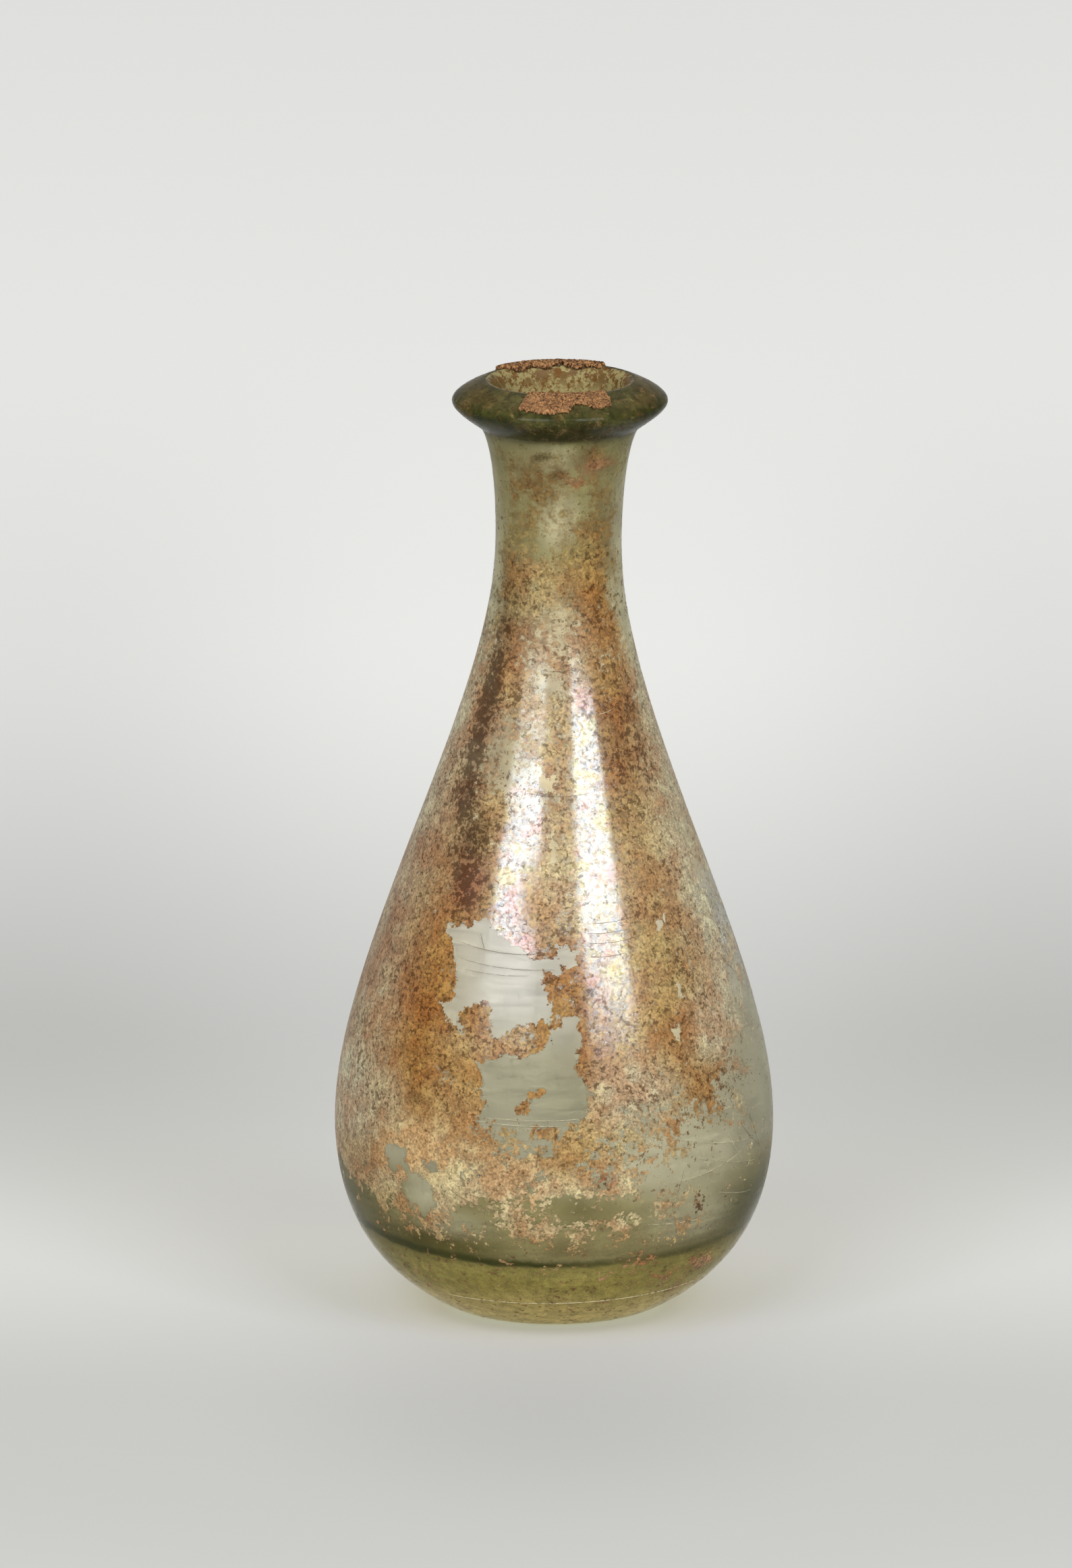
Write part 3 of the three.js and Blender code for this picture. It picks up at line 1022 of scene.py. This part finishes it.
def skinMaterial():
    made, tree, shader = newMaterial("iridescence")
    place = millimetres(tree)
    ramp = addNode(tree, "ValToRGB", {"Fac": spread(tree, place, skinLook["layers"])})
    while len(ramp.color_ramp.elements) < len(skinLook["tints"]):
        ramp.color_ramp.elements.new(0.5)
    for element, (at, colour) in zip(ramp.color_ramp.elements, skinLook["tints"]):
        element.position = at
        element.color = colour + (1,)
    tree.links.new(ramp.outputs["Color"], shader.inputs["Base Color"])
    grain = soilOn(tree, place, painted(tree, "grit"))
    speckled = maths(tree, "SUBTRACT", 1.0, times(tree, grain["Dark"], skinLook["specks"]))
    ripple = noiseAt(tree, place, *skinLook["ripple"])
    amount = times(tree, painted(tree, "pearl"), ranged(tree, ripple, *skinLook["worn"]))
    kept = times(tree, unflaked(tree, place), speckled)
    tree.links.new(times(tree, kept, times(tree, amount, skinLook["strength"])), shader.inputs["Alpha"])
    addBump(tree, shader, ripple, skinLook["bump"])
    plug(tree, shader, skinLook["shader"])
    thinShadow(tree, shader, skinLook["shadow"])
    return made


# heights in mm, turns in radians from the front
paintedShadeLineLook = {"wobble": {"noise": (3.0, 3.0, 0.6), "range": (0.3, 0.7, -0.25, 0.25)}, "above": (1.3, 0.15),
                 "below": (-0.6, 0.05), "broadLeft": (-0.9, 0.1, -0.5, 0.0),
                 "faintRight": (-0.1, 0.5, 1.0, 0.5)}


# painted shade: a dark line standing in for the refraction where the cavity ends, broader at the left and
# fainter at the right
def paintedShadeLine(tree, place):  # dark line where the cavity ends, drawn up at the sides
    spot = addNode(tree, "SeparateXYZ", {0: place}).outputs
    turn = maths(tree, "ARCTAN2", spot["X"], times(tree, spot["Y"], -1.0))
    riseAngle = math.radians(outerBloomShape["riseAngle"])
    share = maths(tree, "DIVIDE", maths(tree, "ABSOLUTE", turn), riseAngle, True)
    rise = times(tree, times(tree, share, share), outerBloomShape["floorRise"])
    height = maths(tree, "ADD", spot["Z"], spread(tree, place, paintedShadeLineLook["wobble"]))
    away = maths(tree, "SUBTRACT", maths(tree, "SUBTRACT", height, rise), outerBloomShape["paintedShadeLine"])
    broad = ranged(tree, turn, *paintedShadeLineLook["broadLeft"])
    above = ranged(tree, maths(tree, "ADD", away, broad), *paintedShadeLineLook["above"])
    below = ranged(tree, away, *paintedShadeLineLook["below"])
    return times(tree, times(tree, above, below), ranged(tree, turn, *paintedShadeLineLook["faintRight"]))


bloomShader = {"Roughness": 0.8, "Specular IOR Level": 0.04}
bloomShadow = (0.93, 0.925, 0.915, 1)
outerBloomLook = {
    "cloud": {"noise": (5.0, 4.0, 0.6), "range": (0.3, 0.7, 0.88, 1.1)},
    "dust": {"noise": (0.4, 3.0, 0.6), "range": (0.3, 0.7, 0.86, 1.13)},
    "tooling": {"scale": (0.25, 0.25, 1.6), "noise": (1.5, 4.0, 0.62), "range": (0.3, 0.7, 0.82, 1.18)},
    "drawn": {"scale": (1.5, 1.5, 0.2), "noise": (1.4, 4.0, 0.6), "range": (0.3, 0.7, -0.22, 0.22)},
    "smudge": {"noise": (1.6, 4.0, 0.65), "range": (0.35, 0.65, -0.4, 0.45)},
    "drawnFrom": (95, 115), "lipSmudge": (140, 144), "baseSmudge": (15, 12, 0, 0.6),  # by height in mm
}


def stretched(tree, place, pattern):
    return addNode(tree, "Mapping", {"Vector": place, "Scale": pattern["scale"]}).outputs[0]


def outerBloomMaterial():
    made, tree, shader = newMaterial("outerBloom")
    look = outerBloomLook
    place = millimetres(tree)
    height = addNode(tree, "SeparateXYZ", {0: place}).outputs["Z"]
    cloudy = times(tree, spread(tree, place, look["cloud"]), spread(tree, place, look["dust"]))
    tone = times(tree, cloudy, spread(tree, stretched(tree, place, look["tooling"]), look["tooling"]))
    lipEnd = ranged(tree, height, *look["lipSmudge"])
    ends = maths(tree, "MAXIMUM", lipEnd, ranged(tree, height, *look["baseSmudge"]))
    smudge = times(tree, spread(tree, place, look["smudge"]), ends)
    drawn = spread(tree, stretched(tree, place, look["drawn"]), look["drawn"])
    drawn = times(tree, drawn, ranged(tree, height, *look["drawnFrom"]))
    tone = times(tree, tone, maths(tree, "ADD", maths(tree, "ADD", smudge, drawn), 1.0))
    colour = mixed(tree, 1.0, painted(tree, "veil", "Color"), tone, "MULTIPLY")
    # painted shade: mixes in the dark line where the cavity ends
    colour = mixed(tree, paintedShadeLine(tree, place), colour, bloomColours["darkGlassAndShade"] + (1,))
    tree.links.new(colour, shader.inputs["Base Color"])
    tree.links.new(painted(tree, "haze"), shader.inputs["Alpha"])
    plug(tree, shader, bloomShader)
    thinShadow(tree, shader, bloomShadow)
    return made


innerBloomLook = {
    "clean": (0.33, 0.265, 0.165, 1), "soiled": (0.125, 0.056, 0.022, 1), "grit": 0.5,
    "specks": {"noise": (0.9, 4.0, 0.7), "range": (0.5, 0.58)}, "patches": (0.44, 0.58), "patchShare": 0.85,
    "mouth": (128, 146), "slope": (144.5, 148.5), "hiding": (110, 135, 0.35, 0.8),  # by height in mm
    "end": (151.0, 150.2), "raggedEnd": 1.2,
}


def innerBloomMaterial():
    made, tree, shader = newMaterial("innerBloom")
    look = innerBloomLook
    place = millimetres(tree)
    lumps = soilOn(tree, place, look["grit"])["Lumps"]
    height = addNode(tree, "SeparateXYZ", {0: place}).outputs["Z"]
    specks = spread(tree, place, look["specks"], smooth=True)
    specks = times(tree, ranged(tree, height, *look["mouth"]), specks)
    slope = times(tree, ranged(tree, height, *look["slope"]), ranged(tree, lumps, *look["patches"]))
    soil = maths(tree, "MAXIMUM", specks, times(tree, slope, look["patchShare"]))
    tree.links.new(mixed(tree, soil, look["clean"], look["soiled"]), shader.inputs["Base Color"])
    hiding = maths(tree, "MAXIMUM", soil, ranged(tree, height, *look["hiding"]))
    end = maths(tree, "ADD", height, times(tree, lumps, look["raggedEnd"]))
    tree.links.new(times(tree, hiding, ranged(tree, end, *look["end"])), shader.inputs["Alpha"])
    plug(tree, shader, bloomShader)
    thinShadow(tree, shader, bloomShadow)
    return made


glassLook = {
    "wall": (0.93, 0.95, 0.88, 1), "lip": (0.5, 0.53, 0.33, 1), "base": (0.82, 0.80, 0.55, 1),
    "lipFrom": (141.5, 143.5), "baseFrom": (16.0, 10.0), "worn": (14, 24, 0.06, 0.34), "lipPolish": -0.12,
    "depthColour": (0.75, 0.80, 0.5, 1), "depth": 30, "shadow": (0.99, 0.985, 0.97, 1),
    "shader": {"IOR": 1.12, "Specular IOR Level": 0.03, "Coat Roughness": 0.14, "Transmission Weight": 1.0},
}


def glassMaterial():
    made, tree, shader = newMaterial("paleGreenGlass")
    height = addNode(tree, "SeparateXYZ", {0: millimetres(tree)}).outputs["Z"]
    lip = ranged(tree, height, *glassLook["lipFrom"])
    colour = mixed(tree, lip, glassLook["wall"], glassLook["lip"])
    colour = mixed(tree, ranged(tree, height, *glassLook["baseFrom"]), colour, glassLook["base"])
    tree.links.new(colour, shader.inputs["Base Color"])
    worn = ranged(tree, height, *glassLook["worn"])
    rough = maths(tree, "ADD", worn, times(tree, lip, glassLook["lipPolish"]))
    tree.links.new(rough, shader.inputs["Roughness"])
    tree.links.new(painted(tree, "gloss"), shader.inputs["Coat Weight"])
    plug(tree, shader, glassLook["shader"])
    thinShadow(tree, shader, glassLook["shadow"])
    absorption = {"Color": glassLook["depthColour"], "Density": glassLook["depth"]}
    absorb = addNode(tree, "VolumeAbsorption", absorption)
    tree.links.new(absorb.outputs[0], tree.nodes["Material Output"].inputs["Volume"])
    return made


def paintGlass(piece):  # the shine of bare glass
    angle, height = bearings(readPoints(piece))[:2]
    gloss = byHeight(glassShape["glossByHeight"], height)
    writePaint(piece, "gloss", gloss * byHeight(glassShape["glossByAngle"], np.abs(angle)))


crustLook = {
    "grain": {"noise": (0.45, 4.0, 0.72), "range": (0.36, 0.64)}, "low": (0.09, 0.038, 0.013, 1),
    "high": (0.5, 0.245, 0.09, 1), "patch": {"noise": (2.2, 3.0, 0.6), "range": (0.4, 0.65)},
    "patchShare": 0.3, "patchTint": (0.5, 0.27, 0.11, 1), "bump": (0.7, 0.2), "shader": {"Roughness": 0.95},
}


def crustMaterial():
    made, tree, shader = newMaterial("earthCrust")
    place = millimetres(tree)
    grain = spread(tree, place, crustLook["grain"])
    colour = mixed(tree, grain, crustLook["low"], crustLook["high"])
    patch = times(tree, spread(tree, place, crustLook["patch"], smooth=True), crustLook["patchShare"])
    colour = mixed(tree, patch, colour, crustLook["patchTint"])
    tree.links.new(colour, shader.inputs["Base Color"])
    addBump(tree, shader, grain, crustLook["bump"])
    plug(tree, shader, crustLook["shader"])
    return made


scratchLook = {
    "darkScratch": [(0.1, 0.06, 0.03, 1), (0.2, 0.13, 0.07, 1)],
    "paleScratch": [(0.4, 0.35, 0.22, 1), (0.6, 0.54, 0.38, 1)],
    "wear": (0.8, 3.0, 0.6), "tinted": (0.35, 0.65), "broken": (0.4, 0.55, 0.15, 0.9),
    "shader": {"Roughness": 0.8},
}


def scratchMaterial(name):
    made, tree, shader = newMaterial(name)
    wear = noiseAt(tree, millimetres(tree), *scratchLook["wear"])
    colour = mixed(tree, ranged(tree, wear, *scratchLook["tinted"]), *scratchLook[name])
    tree.links.new(colour, shader.inputs["Base Color"])
    tree.links.new(ranged(tree, wear, *scratchLook["broken"]), shader.inputs["Alpha"])
    plug(tree, shader, scratchLook["shader"])
    return made


paintGlass(bottleGlass)
bottleGlass.data.materials.append(glassMaterial())
weatheringFilm.data.materials.append(filmMaterial())
iridescentSkin.data.materials.append(skinMaterial())
outerBloom.data.materials.append(outerBloomMaterial())
innerBloom.data.materials.append(innerBloomMaterial())
earthCrust = crustMaterial()
for piece in crustPieces:
    piece.data.materials.append(earthCrust)
scratchMaterials = {name: scratchMaterial(name) for name in ("darkScratch", "paleScratch")}
for piece, group in zip(scratchPieces, scratchSets):
    piece.data.materials.append(scratchMaterials[group["material"]])
print("materials made")

pieces = [bottleGlass, outerBloom, innerBloom, weatheringFilm, iridescentSkin] + crustPieces + scratchPieces
for piece in pieces:
    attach(piece, "root")
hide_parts("bottle")
